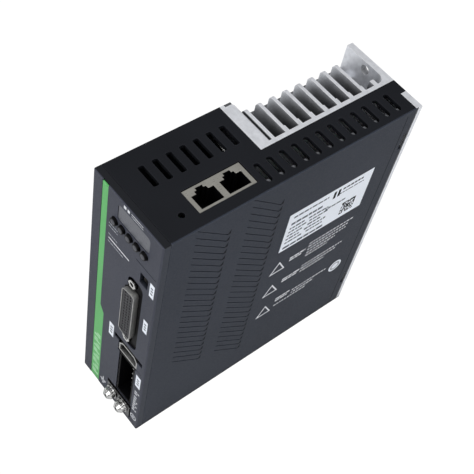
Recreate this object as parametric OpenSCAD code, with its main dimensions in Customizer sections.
// Book-size servo drive: plastic housing with a removable side cover, a finned aluminium
// heatsink along the left rear, five panel keys, and its connectors on the front and top.
// Built in millimetres, +Z up, front towards -Y, origin under the middle of the whole drive.

/* [Body] */
// Width across the front
body_w = 50; // [50:0.5:54]
// Depth from the front panel to the back plate
body_d = 154; // [154:1:170]
// Height
body_h = 170; // [168:1:180]
// Wall of the plastic housing
wall = 2; // [1.6:0.1:2.4]
// Depth of the front panel at its edges
panel_d = 4; // [3.5:0.1:4.5]
// Thickness of the front panel's face
panel_t = 2.2; // [2:0.1:2.4]
// Outer skin of the side cover
skin_t = 0.8; // [0.6:0.1:1]
// Shadow gap between the plastic shells
seam = 0.15; // [0.1:0.05:0.3]

/* [Heatsink] */
// Width of the heatsink, measured from the left side
sink_w = 30; // [29:0.5:31]
// Where the heatsink's front wall starts, behind the front face
sink_y = 68.6; // [67:0.2:70]
// Thickness of its front wall
sink_wall = 6.4; // [5:0.2:7]
// Thickness of its base plate, next to the electronics
base_t = 2.3; // [2:0.1:3]
// Thickness of the back plate
back_t = 3.7; // [3:0.1:4.5]
// Number of full fins
fins = 8; // [6:1:8]
// Spacing of the fins
fin_pitch = 8.2; // [7.8:0.1:8.3]
// Thickness of a fin
fin_t = 1.9; // [1.4:0.1:2.2]
// Gap between the fins' tips and the outer side
fin_gap = 6.6; // [6:0.2:8]
// Thickness of the duct cover
duct_t = 1.5; // [1:0.1:2]
// How far the duct cover stops below the top and bottom
duct_cut = 15.5; // [12:0.5:20]

/* [Mounting] */
// Spacing of the two mounting holes
mount_spacing = 161; // [158:0.5:162]
// Radius of a mounting hole
mount_r = 2.6; // [2.2:0.1:3]
// Mounting hole's place across the width
mount_x = 14.6; // [12:0.2:18]

/* [Vents] */
// Width of a vent slot
vent_w = 3.2; // [2.6:0.1:3.6]
// Spacing of the vent slots
vent_pitch = 7.4; // [7.2:0.1:7.5]
// Slots over the front compartment
left_vents = 7; // [4:1:7]
// Slots over the rear compartment
right_vents = 12; // [8:1:12]
// Lines in the front louvre pattern of the side cover
front_louvres = 24; // [12:1:28]
// Lines in the rear louvre pattern
rear_louvres = 28; // [12:1:28]

/* [Keys] */
// Spacing of the five keys
key_pitch = 5.45; // [5.4:0.05:5.6]
// Radius of a key
key_r = 2.05; // [1.9:0.05:2.1]
// Travel of a key
key_travel = 0.5; // [0.3:0.1:0.6]
// How far a key stands out of the panel
key_out = 1.4; // [0.8:0.1:1.5]

/* [Connectors] */
// How far the earth screws stand out of the panel
front_reach = 5; // [4:0.5:6]
// How far the signal connector's shell stands out of the panel
signal_reach = 2.1; // [1.5:0.1:2.5]
// Spacing of the signal connector's jack screws
jack_spacing = 47.04; // [47.04:0.01:47.1]
// Pins in each row of the signal connector
signal_pins = 15; // [13:1:15]
// Positions in the power header
power_ways = 7; // [5:1:7]

/* [Hidden] */
$fn = 48;
eps = 0.01;
back_y = body_d - back_t;
base_x = sink_w - base_t;
// Front-top position of fin number zero, which is the first one that has a full root
fin_y0 = sink_y + sink_wall + 10.2;
fin_tip_x = fin_gap;
root_l = 3.4;
root_t = 2.5;
cover_x = body_w - skin_t;
cover_in = 1.6;
cover_y = panel_d + seam;
key_x0 = 17.4;
key_z = 152.6;
key_hole_r = key_r + 0.35;
board_t = 1.6;
board_x = 28.1;
panel_board_y = 8;
signal_x = 33.5;
signal_z = 99.6;
flange_y = 4;
jack_out = 0.5;
encoder_x = 35.9;
encoder_z = 61.8;
power_x = 36.3;
power_z = 37;
power_w = 13.2;
power_h = 39.6;
power_pitch = 5;
lan_x = 36.65;
lan_y = 39.7;
lan_w = 13.1;
lan_l = 31.6;
lan_h = 19.2;
port_pitch = 15.24;
port_floor = body_h - 12.6;
usb_x = 40.8;
usb_z = 134.7;
key_names = ["mode_key", "up_key", "down_key", "shift_key", "set_key"];

// Shift from the drive's left front bottom corner to its origin
module placed() {
    translate([-body_w / 2, -(body_d - front_reach) / 2, 0]) children();
}

// Plan outline of a plate with round front corners
module front_outline(left_r, right_r) {
    translate([left_r, 0]) square([body_w - left_r - right_r, panel_d]);
    translate([0, left_r]) square([body_w, panel_d - left_r]);
    translate([left_r, left_r]) circle(r = left_r);
    translate([body_w - right_r, right_r]) circle(r = right_r);
}

// Slot with round ends, along X, from its left end to its right end
module slot_shape(x0, x1, w) {
    r = w / 2;
    translate([x0 + r, -r]) square([x1 - x0 - w, w]);
    translate([x0 + r, 0]) circle(r = r);
    translate([x1 - r, 0]) circle(r = r);
}

// Rectangle with round corners, centred
module round_rect(w, h, r) {
    square([w - 2 * r, h], center = true);
    square([w, h - 2 * r], center = true);
    for (sx = [-1, 1], sy = [-1, 1]) {
        translate([sx * (w / 2 - r), sy * (h / 2 - r)]) circle(r = r);
    }
}

function arc(cx, cy, r, a0, a1, n = 6) =
    [for (i = [0:n]) let (a = a0 + (a1 - a0) * i / n) [cx + r * cos(a), cy + r * sin(a)]];

// D-shaped connector outline: long side l at +X, width w, 10 degree sides
function d_points(l, w, r) = let (s = l / 2 - w * tan(10), x = w / 2 - r) concat(
    arc(x, l / 2 - r * 1.1, r, 0, 100),
    arc(-x, s - r * 0.8, r, 100, 180),
    arc(-x, -s + r * 0.8, r, 180, 260),
    arc(x, -l / 2 + r * 1.1, r, 260, 360));

// Outline of the encoder connector, g inside its shell: the two upper corners are cut off
function encoder_points(g) = let (w = 7.5 - g, h = 4.2 - g, cut = 2.6 - g * 0.59)
    [[-w, -h], [w, -h], [w, h - cut], [w - cut, h], [cut - w, h], [-w, h - cut]];

// Opening round the signal connector and its jack screws, g inside the panel's cut-out
module signal_opening(g) {
    translate([2.25, 0.4]) round_rect(11.1 - 2 * g, 56 - 2 * g, 4 - g);
    polygon(d_points(40.2 - 2 * g, 9.8 - 2 * g, 2.4));
}

// Extrude a front-view shape (X across, Z up) from y0 back to y1
module from_front(y0, y1) {
    translate([0, y1, 0]) rotate([90, 0, 0]) linear_extrude(y1 - y0) children();
}

// Pan head screw with a cross recess, head up at the origin, shank down
module pan_screw(head_r, head_h, shank_r, length) {
    difference() {
        union() {
            cylinder(r = head_r, h = head_h * 0.55);
            translate([0, 0, head_h * 0.55 - eps]) cylinder(r1 = head_r, r2 = head_r * 0.62, h = head_h * 0.45);
            translate([0, 0, -length]) cylinder(r = shank_r, h = length + eps);
        }
        for (a = [0, 90]) rotate([0, 0, a])
            translate([-head_r * 0.5, -head_r * 0.1, head_h * 0.45]) cube([head_r, head_r * 0.2, head_h]);
    }
}

// Aluminium heatsink: front wall, base plate, fins and the back plate that bolts to the cabinet
module heatsink() {
    fillet_r = 4.5;
    tip_r = 2;
    color("gainsboro") placed() difference() {
        union() {
            translate([0, sink_y, 0]) cube([sink_w, sink_wall, body_h]);
            translate([duct_t + 0.1, sink_y + sink_wall - eps, 1]) cube([sink_w - duct_t - 0.1, 1.2 + eps, body_h - 2]);
            translate([base_x, sink_y, 0]) cube([base_t, back_y - sink_y + eps, body_h]);
            translate([0, back_y, 0]) cube([body_w, back_t, body_h]);
            translate([duct_t + 0.1, back_y - 5, duct_cut + 1]) cube([6, 5 + eps, body_h - 2 * duct_cut - 2]);
            for (i = [-1:fins - 2]) fin(fin_y0 + i * fin_pitch, tip_r);
            for (i = [0:fins - 1]) translate([base_x - root_l, fin_y0 + i * fin_pitch, 0])
                cube([root_l + eps, root_t, body_h]);
            translate([base_x - fillet_r, back_y - fillet_r, 0]) difference() {
                cube([fillet_r + eps, fillet_r + eps, body_h]);
                translate([0, 0, -1]) cylinder(r = fillet_r, h = body_h + 2);
            }
        }
        for (s = [-1, 1]) translate([mount_x, back_y - 1, body_h / 2 + s * mount_spacing / 2])
            rotate([-90, 0, 0]) cylinder(r = mount_r, h = back_t + 2);
        for (z = [body_h - 3, -eps]) translate([sink_w, back_y - eps, z])
            cube([8.5, back_t + 1, 3 + eps]);
        for (z = duct_screw_z()) translate([-1, sink_y + sink_wall - 2.2, z])
            rotate([0, 90, 0]) cylinder(r = 1.25, h = 9);
        for (y = module_screw_y(), z = [60, 110]) translate([base_x - 1, y, z])
            rotate([0, 90, 0]) cylinder(r = 1.5, h = base_t + 2);
        translate([-eps, sink_y + sink_wall - 4, -1]) cube([duct_t + eps, 4 + eps, body_h + 2]);
    }
}

// One fin, its outer corners rounded
module fin(y, r) {
    translate([0, y + fin_t, 0]) rotate([90, 0, 0]) linear_extrude(fin_t) {
        translate([fin_tip_x + r, 0]) square([base_x - fin_tip_x - r + eps, body_h]);
        translate([fin_tip_x, r]) square([base_x - fin_tip_x, body_h - 2 * r]);
        for (z = [r, body_h - r]) translate([fin_tip_x + r, z]) circle(r = r);
    }
}

function duct_screw_z() = [25, body_h / 2, body_h - 25];
function module_screw_y() = [84, 132];

// Plate that closes the outer side of the air duct, cut back at both ends
module duct_cover() {
    y0 = sink_y + sink_wall - 4;
    y1 = back_y - seam;
    run_out_y = y0 + 4 + duct_cut;
    color("silver") placed() difference() {
        translate([0, y0 + seam, seam]) cube([duct_t, y1 - y0 - seam, body_h - 2 * seam]);
        for (z = [-1, body_h - duct_cut]) translate([-1, run_out_y, z])
            cube([duct_t + 2, y1, duct_cut + 1]);
        for (z = [0, body_h]) translate([-1, run_out_y, z])
            rotate([0, 90, 0]) cylinder(r = duct_cut, h = duct_t + 2);
        for (z = duct_screw_z()) translate([-1, y0 + 1.8, z])
            rotate([0, 90, 0]) cylinder(r = 1.4, h = duct_t + 2);
    }
}

// Screws that hold the duct cover to the heatsink's front wall
module duct_screws() {
    color("silver") placed() for (z = duct_screw_z())
        translate([0, sink_y + sink_wall - 2.2, z]) rotate([0, -90, 0]) translate([0, 0, -eps])
            duct_screw();
}

module duct_screw() {
    translate([0, 0, -7]) cylinder(r = 1.2, h = 7);
}

// Main plastic shell: left wall, top and bottom with their vents
module housing_shell() {
    inner_w = cover_x - seam;
    y0 = panel_d + seam;
    color([0.13, 0.14, 0.15]) placed() difference() {
        union() {
            translate([0, y0, 0]) cube([wall, sink_y - y0 - eps, body_h]);
            for (z = [0, body_h - wall]) translate([0, 0, z]) {
                translate([0, y0, 0]) cube([inner_w, sink_y - y0 - eps, wall]);
                translate([sink_w + eps, sink_y - 1, 0]) cube([inner_w - sink_w - eps, back_y - sink_y + 1 - eps, wall]);
                translate([sink_w + seam, back_y - 1, 0]) cube([8.5 - 2 * seam, back_t + 1, wall]);
            }
        }
        for (z = [-1, body_h - wall - 1]) translate([0, 0, z]) vents();
        translate([lan_x - lan_w / 2 - 0.3, lan_y - lan_l / 2 - 0.3, body_h - wall - 1])
            cube([lan_w + 0.6, lan_l + 0.6, wall + 2]);
        translate([cover_screw_x(), cover_screw_y(), body_h - wall - 1]) cylinder(r = 1.6, h = wall + 2);
    }
}

function cover_screw_x() = 40.1;
function cover_screw_y() = 16.6;

// Both groups of vent slots, to be cut
module vents() {
    linear_extrude(wall + 2) {
        for (i = [0:left_vents - 1]) translate([15.7, 17.3 + i * vent_pitch]) round_rect(12.6, vent_w, 0.8);
        for (i = [0:right_vents - 1]) translate([0, 61 + i * vent_pitch]) slot_shape(34.6, 46.2, vent_w);
    }
}

// Screw sunk in the top, through a tab of the side cover
module cover_screw() {
    color("dimgray") placed() translate([cover_screw_x(), cover_screw_y(), body_h - wall - 3.3])
        pan_screw(1.45, 1.6, 1, 5);
}

// Snap-on cover of the right side: a skin, an inner lip, its clips and the louvre pattern
module side_cover() {
    y1 = back_y - seam;
    inner_x = cover_x - cover_in;
    color([0.30, 0.31, 0.34]) placed() difference() {
        union() {
            translate([cover_x, cover_y, 0]) cube([skin_t, y1 - cover_y, body_h]);
            translate([inner_x, cover_y + 0.2, wall + 0.3])
                cube([cover_in + eps, y1 - cover_y - 0.4, body_h - 2 * wall - 0.6]);
            translate([inner_x - 2.4, cover_y + 4, wall + 0.3]) cube([2.4 + eps, 6, 3]);
            translate([inner_x - 2.4, 118, wall + 0.3]) cube([2.4 + eps, 6, 3]);
            translate([cover_screw_x() - 2.5, cover_screw_y() - 3, body_h - wall - 5])
                cube([inner_x - cover_screw_x() + 2.5 + eps, 6, 1.5]);
        }
        for (z = [20, body_h - 28.5]) translate([inner_x - 1, y1 - 2, z]) cube([skin_t + cover_in + 2, 3, 11]);
        louvre_lines(17.5, front_louvres);
        louvre_lines(48.3, rear_louvres);
        translate([body_w - 0.2, 77.5, 106.2]) cube([1, 56.8, 30.9]);
        translate([body_w - 0.2, 134.4, 49.8]) rotate([0, 90, 0]) cylinder(r = 4.9, h = 1);
        translate([cover_screw_x(), cover_screw_y(), body_h - wall - 6]) cylinder(r = 1.05, h = 4);
    }
}

// A column of slanting louvre grooves that starts at depth y0
module louvre_lines(y0, count) {
    run = 24.9;
    rise = 40.5;
    pitch = 4.85;
    groove = 0.45;
    for (i = [0:count - 1]) translate([body_w - 0.35, y0 + 19.1, 152.9 - i * pitch])
        rotate([-rise, 0, 0]) translate([0, -run, -groove / 2]) cube([1, run, groove]);
}

// Front panel: a shallow tray with round side edges and the cut-outs for everything behind it
module front_panel() {
    color([0.31, 0.32, 0.35]) placed() difference() {
        linear_extrude(body_h) front_outline(1, 0.8);
        translate([1.8, panel_t, 1.8]) cube([body_w - 3.6, panel_d, body_h - 3.6]);
        stripe_space(0);
        from_front(-1, panel_t + 1) {
            translate([30.25, 161]) round_rect(22.9, 10.4, 2.1);
            for (i = [0:4]) translate([key_x0 + i * key_pitch, key_z]) circle(r = key_hole_r);
            translate([usb_x, usb_z]) round_rect(5.8, 7.9, 0.6);
            translate([signal_x, signal_z]) signal_opening(0);
            translate([encoder_x - 7.8, power_z + power_h / 2]) square([15.6, 12.1]);
            translate([24.6, 65.4]) square([23, 3.5]);
            translate([power_x, power_z]) square([power_w + 0.4, power_h + 0.4], center = true);
            translate([22.3, 3.4]) square([21.5, 13.5]);
        }
        from_front(-1, 0.35) translate([33.8, 143.7]) square([14.6, 0.5]);
        from_front(-1, 0.35) translate([43.6, 58]) square([4.3, 0.45]);
        for (t = tag_places()) from_front(-1, 0.2) translate([t[0], t[1]]) square([t[2], t[3]]);
    }
}

// Space of the coloured stripe, grown by g on every side
module stripe_space(g) {
    x0 = 6.9 - g;
    x1 = 11.3 + g;
    x2 = 14.3 + g;
    from_front(-1, 0.9 + g) polygon([[x0, -1], [x2, -1], [x2, 72], [x1, 77], [x1, body_h + 1], [x0, body_h + 1]]);
}

function ground_x() = [27.6, 37.4];
function ground_z() = 9.3;
// Left, bottom, width and height of each port tag
function tag_places() = [[44.9, 129, 3.4, 10.3], [43.9, 97.3, 3.4, 10.4], [19.5, 61, 4, 11.5], [44.2, 43, 4.1, 11.3]];

// Green stripe let into the front panel
module trim_stripe() {
    color([0.35, 0.68, 0.38]) placed() intersection() {
        stripe_space(-0.05);
        translate([0, 0.1, 0]) cube([body_w, 0.75, body_h - 0.6]);
    }
}

// Smoked window over the digits
module display_window() {
    color([0.45, 0.46, 0.5, 0.8]) placed() from_front(0.3, 1.7) translate([30.25, 161]) round_rect(22.7, 10.2, 2);
}

// Five-digit numeric display
module display_module() {
    digit_w = 4.1;
    color("black") placed() difference() {
        translate([19.2, 3, 156.2]) cube([22, panel_board_y - 3, 9.6]);
        for (i = [0:4]) translate([20 + i * 4.2, 2.5, 157.4]) cube([digit_w - 0.6, 0.9, 7.2]);
    }
}

// One key: round cap, retaining flange and stem
module key_cap(index) {
    flange_r = key_hole_r + 0.15;
    color([0.55, 0.56, 0.6]) placed() translate([key_x0 + index * key_pitch, 0, key_z]) rotate([-90, 0, 0]) {
        translate([0, 0, -key_out]) cylinder(r = key_r, h = key_out + panel_t + 0.9);
        translate([0, 0, panel_t + 0.35]) cylinder(r = flange_r, h = 1);
        translate([0, 0, panel_t + 1.3]) cylinder(r = 1, h = 5.2 - panel_t - 1.3);
    }
}

// Tactile switches under the keys
module key_switches() {
    top_y = 6;
    color("black") placed() for (i = [0:4]) translate([key_x0 + i * key_pitch, 0, key_z]) {
        translate([-2.25, top_y + 0.4, -2.25]) cube([4.5, panel_board_y - top_y - 0.4, 4.5]);
        translate([0, top_y, 0]) rotate([-90, 0, 0]) cylinder(r = 1.1, h = 0.5);
    }
}

// Circuit board of the panel: display, keys and service port
module panel_board() {
    color([0.1, 0.35, 0.2]) placed() translate([12, panel_board_y, 129.5]) cube([34, board_t, 37.5]);
}

// Control board beside the connectors
module control_board() {
    color([0.1, 0.35, 0.2]) placed() translate([board_x, 16.5, 58]) difference() {
        cube([board_t, 49.5, 106]);
        for (p = control_holes()) translate([-1, p[0] - 16.5, p[1] - 58]) rotate([0, 90, 0]) cylinder(r = 1.6, h = board_t + 2);
    }
}

// Places of the control board's fixing holes
function control_holes() = [[20, 62], [62, 62], [20, 146], [62, 160]];

// Power board over the power module
module power_board() {
    color([0.08, 0.3, 0.18]) placed() translate([power_board_x(), 72, 8]) cube([board_t, 72, 140]);
}

function power_board_x() = 38.4;

// Board that carries the power header and the bus capacitors
module bus_board() {
    color([0.08, 0.3, 0.18]) placed() translate([board_x, 17, 6]) difference() {
        cube([board_t, 49, 46]);
        for (p = bus_holes()) translate([-1, p[0] - 17, p[1] - 6]) rotate([0, 90, 0]) cylinder(r = 1.6, h = board_t + 2);
    }
}

function bus_holes() = [[62, 10], [62, 48]];

// Hex spacers that hold the control and bus boards on the heatsink's front wall side
module board_spacers() {
    color("silver") placed() for (p = concat(control_holes(), bus_holes()))
        translate([wall, p[0], p[1]]) rotate([0, 90, 0]) difference() {
            cylinder(r = 2.9, h = board_x - wall, $fn = 6);
            translate([0, 0, board_x - wall - 8]) cylinder(r = 1.3, h = 9);
        }
}

// Screws of both boards
module board_screws() {
    color("silver") placed() for (p = concat(control_holes(), bus_holes()))
        translate([board_x + board_t, p[0], p[1]]) rotate([0, 90, 0]) pan_screw(2.6, 1.8, 1.25, 7);
}

// Shape of one network port in plan: contact side right, latch steps left
module port_shape(g) {
    translate([-2.2 - g, -5.9 - g]) square([7.4 + 2 * g, 11.8 + 2 * g]);
    translate([-3.8 - g, -3.1 - g]) square([1.8 + 2 * g, 6.2 + 2 * g]);
    translate([-5.2 - g, -1.8 - g]) square([1.6 + 2 * g, 3.6 + 2 * g]);
}

// Metal shield of the double network jack
module ethernet_shell() {
    tin = 0.35;
    color("lightgray") placed() translate([lan_x, lan_y, body_h - 0.3 - lan_h]) difference() {
        translate([-lan_w / 2, -lan_l / 2, 0]) cube([lan_w, lan_l, lan_h]);
        translate([-lan_w / 2 + tin, -lan_l / 2 + tin, -1]) cube([lan_w - 2 * tin, lan_l - 2 * tin, lan_h + 1 - tin]);
        for (s = [-1, 1]) translate([0, s * port_pitch / 2, lan_h - 2]) linear_extrude(4) port_shape(0.15);
    }
}

// Plastic body of the double network jack
module ethernet_insert() {
    g = 0.4;
    top_z = body_h - 0.75;
    low_z = body_h - 0.3 - lan_h;
    color([0.08, 0.08, 0.08]) placed() translate([lan_x, lan_y, 0]) difference() {
        translate([-lan_w / 2 + g, -lan_l / 2 + g, low_z]) cube([lan_w - 2 * g, lan_l - 2 * g, top_z - low_z]);
        for (s = [-1, 1]) translate([0, s * port_pitch / 2, port_floor]) {
            linear_extrude(20) port_shape(0);
            for (i = [0:7]) translate([3.6, (i - 3.5) * 1.02 - 0.3, -3]) cube([1.2, 0.6, 20]);
        }
    }
}

// Sprung contact wires of both ports
module ethernet_contacts() {
    color("gold") placed() for (s = [-1, 1], i = [0:7])
        translate([lan_x + 4.05, lan_y + s * port_pitch / 2 + (i - 3.5) * 1.02 - 0.22, port_floor - 2.9])
            cube([0.45, 0.44, 11]);
}

// Service port on the panel board
module usb_shell() {
    color("lightgray") placed() from_front(panel_t + 0.1, panel_board_y) translate([usb_x, usb_z]) difference() {
        round_rect(5, 7.5, 0.6);
        round_rect(4.3, 6.8, 0.35);
    }
}

module usb_tongue() {
    color("black") placed() union() {
        from_front(5.6, panel_board_y) translate([usb_x, usb_z]) round_rect(4.2, 6.7, 0.35);
        from_front(1.4, 5.7) translate([usb_x + 0.5, usb_z]) square([1.1, 5.2], center = true);
    }
}

// Metal shell and flange of the signal connector
module signal_shell() {
    tin = 0.6;
    color("silver") placed() translate([signal_x, 0, signal_z]) difference() {
        union() {
            from_front(-signal_reach, flange_y + tin) polygon(d_points(38.6, 9, 2.2));
            from_front(flange_y, flange_y + tin) difference() {
                round_rect(12.2, 52.8, 1);
                for (s = [-1, 1]) translate([0, s * jack_spacing / 2]) circle(r = 1.65);
            }
        }
        from_front(-signal_reach - 1, flange_y + 2) polygon(d_points(37.8, 8.2, 1.9));
    }
}

// Moulded body of the signal connector with three rows of contact holes
module signal_insert() {
    pin_z = 2.29;
    back_face = flange_y + 0.7;
    color([0.3, 0.3, 0.32]) placed() translate([signal_x, 0, signal_z]) difference() {
        union() {
            from_front(0.3 - signal_reach, back_face + 1) polygon(d_points(37.6, 8, 1.8));
            from_front(back_face, back_face + 5) round_rect(12, 40.6, 1);
            from_front(back_face + 4.5, 16.4) translate([-1, 0]) square([8, 38], center = true);
        }
        for (row = [-1:1], i = [0:signal_pins - 1]) {
            shift = row == 0 ? pin_z / 2 : 0;
            if (!(row == 0 && i == signal_pins - 1))
                translate([row * 1.98, -signal_reach, (i - (signal_pins - 1) / 2) * pin_z + shift])
                    rotate([-90, 0, 0]) cylinder(r = 0.55, h = 5, $fn = 16);
        }
    }
}

// Black plate that fills the opening round the signal connector
module signal_gasket() {
    color([0.07, 0.07, 0.07]) placed() translate([signal_x, 0, signal_z]) from_front(0.9, panel_t) difference() {
        signal_opening(0.12);
        polygon(d_points(38.9, 9.3, 2.3));
        for (s = [-1, 1]) translate([0, s * jack_spacing / 2]) circle(r = 3.1);
    }
}

// Hexagonal jack screws beside the signal connector
module jack_screws() {
    shank = 6;
    color("silver") placed() for (s = [-1, 1])
        translate([signal_x, flange_y, signal_z + s * jack_spacing / 2]) rotate([90, 0, 0]) difference() {
            union() {
                cylinder(r = 2.75, h = flange_y + jack_out, $fn = 6);
                translate([0, 0, -shank]) cylinder(r = 1.4, h = shank + eps);
            }
            translate([0, 0, -1]) cylinder(r = 1.25, h = flange_y + jack_out + 2);
        }
}

// Shell of the encoder connector
module encoder_shell() {
    tin = 0.9;
    color("silver") placed() translate([encoder_x, 0, encoder_z]) difference() {
        from_front(0.3, 13.5) polygon(encoder_points(0));
        from_front(-1, 13) polygon(encoder_points(tin));
    }
}

// Contact block of the encoder connector, and the frame round it behind the panel
module encoder_insert() {
    color("black") placed() translate([encoder_x, 0, encoder_z]) {
        from_front(5, 13) polygon(encoder_points(1));
        from_front(1.8, 5.1) square([9, 1.8], center = true);
        from_front(panel_t + 0.1, 12) difference() {
            translate([-11.7, -4.7]) square([23, 12.6]);
            polygon(encoder_points(-0.1));
        }
    }
}

// Open shrouded header for the motor and mains plug
module power_header() {
    t = 1.3;
    depth = 15;
    color([0.07, 0.07, 0.07]) placed() translate([power_x, 0, power_z]) difference() {
        from_front(0.3, 0.3 + depth) square([power_w, power_h], center = true);
        from_front(-1, depth - 1.5) square([power_w - 2 * t, power_h - 2 * t], center = true);
        for (i = [0:power_ways - 1]) from_front(depth - 2, depth + 2)
            translate([0, (i - (power_ways - 1) / 2) * power_pitch]) square([1.1, 1.1], center = true);
        for (i = [0:power_ways]) from_front(-1, 6)
            translate([-power_w / 2, (i - power_ways / 2) * power_pitch]) square([1.2, 1.6], center = true);
    }
}

// Pins of the power header
module power_pins() {
    color("silver") placed() for (i = [0:power_ways - 1])
        translate([power_x, 0, power_z + (i - (power_ways - 1) / 2) * power_pitch])
            from_front(5, 16.6) square([1, 1], center = true);
}

// Black block that carries the earth terminals
module ground_block() {
    color([0.07, 0.07, 0.07]) placed() difference() {
        translate([22.6, 0.8, 3.7]) cube([20.9, 8.2, 12.9]);
        for (x = ground_x()) translate([x, 0, ground_z()]) rotate([-90, 0, 0]) cylinder(r = 2.05, h = 8.6);
    }
}

// Earth plate on the block's face
module ground_plate() {
    color("silver") placed() difference() {
        translate([22.9, -0.4, 4]) cube([20.2, 1.2, 10.6]);
        for (x = ground_x()) translate([x, -2, ground_z()]) rotate([-90, 0, 0]) cylinder(r = 2.1, h = 4);
        translate([(ground_x()[0] + ground_x()[1]) / 2 + 2, -2, 12.9]) rotate([-90, 0, 0]) cylinder(r = 0.8, h = 4);
    }
}

// Earth screws with their washers
module ground_screws() {
    washer_t = 0.7;
    color("silver") placed() for (x = ground_x()) translate([x, -0.4, ground_z()]) rotate([90, 0, 0]) {
        difference() {
            cylinder(r = 4.2, h = washer_t);
            translate([0, 0, -1]) cylinder(r = 1.95, h = 3);
        }
        translate([0, 0, washer_t]) pan_screw(3.6, front_reach - 0.4 - washer_t, 1.95, 9);
    }
}

// Light posts that stand under the rear vents
module vent_comb() {
    color([0.75, 0.76, 0.78]) placed() {
        translate([43.4, 58, body_h - wall - 3.6]) cube([2.4, 88, 1.2]);
        for (i = [0:right_vents - 1]) translate([44.6, 61 + i * vent_pitch, body_h - wall - 2.5])
            cylinder(r = 0.95, h = 3);
    }
}

// Bus capacitors lying between the bus board and the left wall
module bus_capacitors() {
    color([0.1, 0.12, 0.2]) placed() for (z = [19.5, 38.5]) translate([board_x - eps, 42, z]) rotate([0, -90, 0]) {
        cylinder(r = 9, h = 20);
        translate([0, 0, 20 - eps]) cylinder(r = 8.3, h = 1);
    }
}

// Transistor module bolted to the heatsink's base plate
module power_module() {
    color("black") placed() difference() {
        translate([sink_w + 0.5, 78, 52]) cube([5.5, 60, 66]);
        for (y = module_screw_y(), z = [60, 110]) translate([sink_w, y, z]) rotate([0, 90, 0]) cylinder(r = 1.7, h = 8);
    }
}

// Heat-conducting pad under the module
module thermal_pad() {
    color("lightgray") placed() difference() {
        translate([sink_w, 79, 53]) cube([0.5, 58, 64]);
        for (y = module_screw_y(), z = [60, 110]) translate([sink_w - 1, y, z]) rotate([0, 90, 0]) cylinder(r = 1.7, h = 4);
    }
}

// Screws of the module, into the heatsink
module module_screws() {
    head_h = 1.6;
    color("silver") placed() for (y = module_screw_y(), z = [60, 110])
        translate([sink_w + 6, y, z]) rotate([0, 90, 0]) pan_screw(2.6, head_h, 1.45, 5 + base_t);
}

// Bridge rectifier on the power board
module rectifier() {
    color([0.1, 0.1, 0.1]) placed() translate([power_board_x() + board_t, 84, 18]) cube([4.6, 30, 20]);
}

// Inrush relay on the bus board
module relay() {
    color("orange") placed() translate([board_x - 15, 54, 70]) cube([15 - eps, 11, 26]);
}

// Small supply transformer on the control board's left side
module transformer() {
    color([0.75, 0.7, 0.3]) placed() translate([board_x - 16, 28, 66]) {
        translate([3, 0, 3]) cube([10, 20, 20]);
        cube([16 - eps, 20, 3]);
        translate([0, 0, 23]) cube([16 - eps, 20, 3]);
    }
}

// Input fuse on the power board
module fuse() {
    color("ivory") placed() translate([power_board_x() + board_t + 2.8, 90, 50]) rotate([-90, 0, 0]) {
        cylinder(r = 2.7, h = 20);
    }
}

// Rating label in its recess
module rating_label() {
    color("white") placed() translate([body_w - 0.2, 77.7, 106.4]) cube([0.15, 56.4, 30.5]);
}

// Round seal sticker over a cover fixing
module seal_sticker() {
    color([0.85, 0.87, 0.88]) placed() translate([body_w - 0.2, 134.4, 49.8]) rotate([0, 90, 0]) cylinder(r = 4.7, h = 0.15);
}

// Blank marker tags beside the connectors
module port_tags() {
    color("white") placed() for (t = tag_places())
        from_front(0.05, 0.2) translate([t[0] + 0.1, t[1] + 0.1]) square([t[2] - 0.2, t[3] - 0.2]);
}

heatsink();
duct_cover();
duct_screws();
housing_shell();
side_cover();
cover_screw();
front_panel();
trim_stripe();
display_window();
display_module();
key_cap(0);  // mode_key
key_cap(1);  // up_key
key_cap(2);  // down_key
key_cap(3);  // shift_key
key_cap(4);  // set_key
key_switches();
panel_board();
control_board();
power_board();
bus_board();
board_spacers();
board_screws();
ethernet_shell();
ethernet_insert();
ethernet_contacts();
usb_shell();
usb_tongue();
signal_shell();
signal_insert();
signal_gasket();
jack_screws();
encoder_shell();
encoder_insert();
power_header();
power_pins();
ground_block();
ground_plate();
ground_screws();
vent_comb();
bus_capacitors();
power_module();
thermal_pad();
module_screws();
rectifier();
relay();
transformer();
fuse();
rating_label();
seal_sticker();
port_tags();
